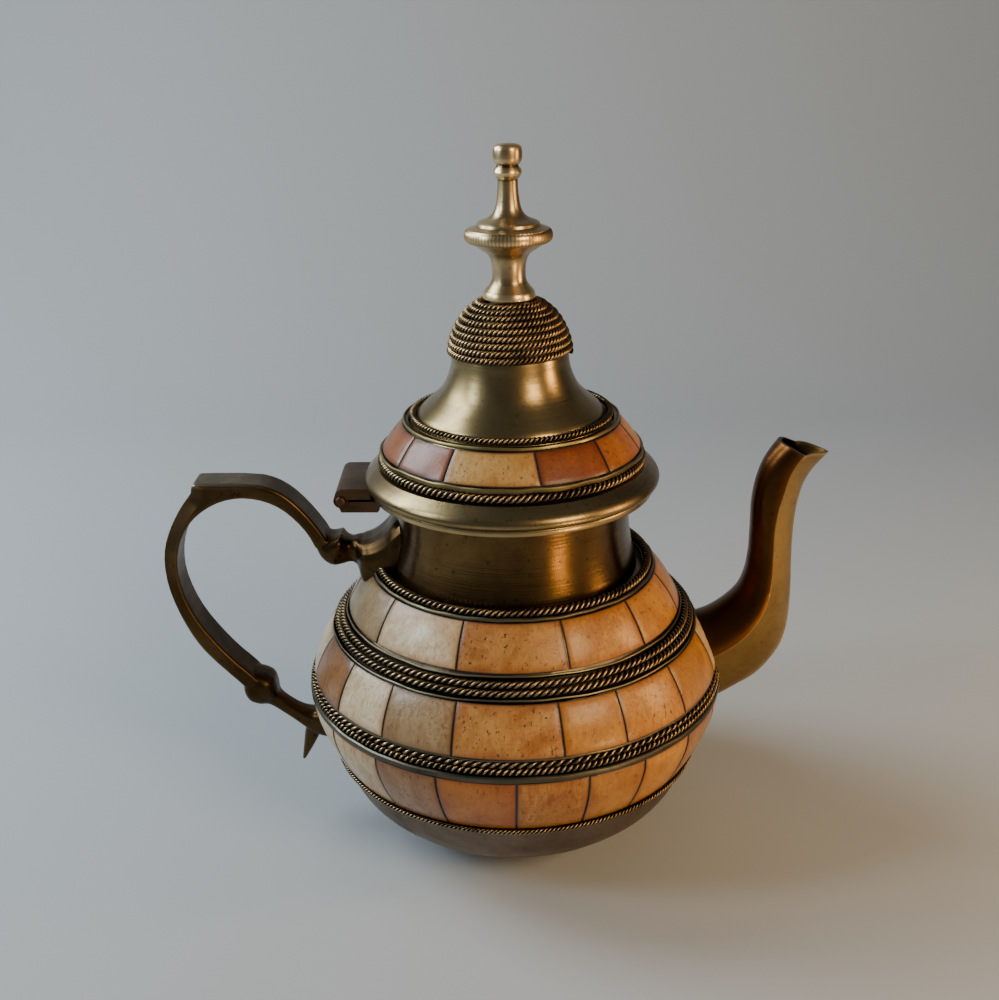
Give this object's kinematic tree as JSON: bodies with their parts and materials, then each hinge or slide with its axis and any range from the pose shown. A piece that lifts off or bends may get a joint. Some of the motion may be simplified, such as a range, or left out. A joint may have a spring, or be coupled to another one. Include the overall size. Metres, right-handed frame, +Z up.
{
  "type": "hinged lid teapot",
  "caption": "Round-bellied brass teapot with inlaid bone tiles, twisted wire trim, an arched handle, a tall spout and a hinged domed lid.",
  "frame": {"origin": "centre of the flat foot the pot stands on", "axes": "+Z up along the pot's axis, +X towards the spout, -X towards the handle and the lid hinge"},
  "size_m": [0.2186, 0.1402, 0.2294],
  "materials": {
    "brass": "aged, hand polished on the crests",
    "dark_brass": "dark brown patina",
    "dull_brass": "dull grey brown",
    "rope_brass": "blackened in the grooves, bright on the crests",
    "bone": "polished bone, cream to burnt orange"
  },
  "bodies": {
    "pot": {"neck_collar": "brass", "mouth_rim": "brass", "spout": "brass", "handle": "dark_brass", "hinge_pot_leaf": "dark_brass", "hinge_pin": "dark_brass", "shoulder_channel": "dark_brass", "belly_channel": "dark_brass", "neck_strip": "dark_brass", "base_dish": "dull_brass", "bowl_shell": "dull_brass", "shoulder_shell": "dull_brass", "base_rope": "rope_brass", "belly_rope_lower": "rope_brass", "belly_rope_upper": "rope_brass", "shoulder_rope_lower": "rope_brass", "shoulder_rope_upper": "rope_brass", "neck_rope": "rope_brass", "lower_tile_band": "bone", "middle_tile_band": "bone", "shoulder_tile_01": "bone", "shoulder_tile_02": "bone", "shoulder_tile_03": "bone", "shoulder_tile_04": "bone", "shoulder_tile_05": "bone", "shoulder_tile_06": "bone", "shoulder_tile_07": "bone", "shoulder_tile_08": "bone", "shoulder_tile_09": "bone", "shoulder_tile_10": "bone", "shoulder_tile_11": "bone"},
    "lid": {"lid_shell": "brass", "lid_collar": "brass", "lid_bell": "brass", "lid_lower_strip": "dark_brass", "lid_upper_strip": "dark_brass", "lid_rim_rope": "rope_brass", "lid_upper_rope": "rope_brass", "dome_cap": "dark_brass", "dome_rope": "rope_brass", "finial": "brass", "hinge_lid_leaf": "dark_brass", "lid_tile_01": "bone", "lid_tile_02": "bone", "lid_tile_03": "bone", "lid_tile_04": "bone", "lid_tile_05": "bone", "lid_tile_06": "bone", "lid_tile_07": "bone", "lid_tile_08": "bone", "lid_tile_09": "bone", "lid_tile_10": "bone", "lid_tile_11": "bone"}
  },
  "joints": [
    {"name": "lid_hinge", "type": "hinge", "parent": "pot", "child": "lid", "pos_m": [-0.0545, 0, 0.122], "axis": [0, -1, 0], "range_deg": [0, 100]}
  ]
}
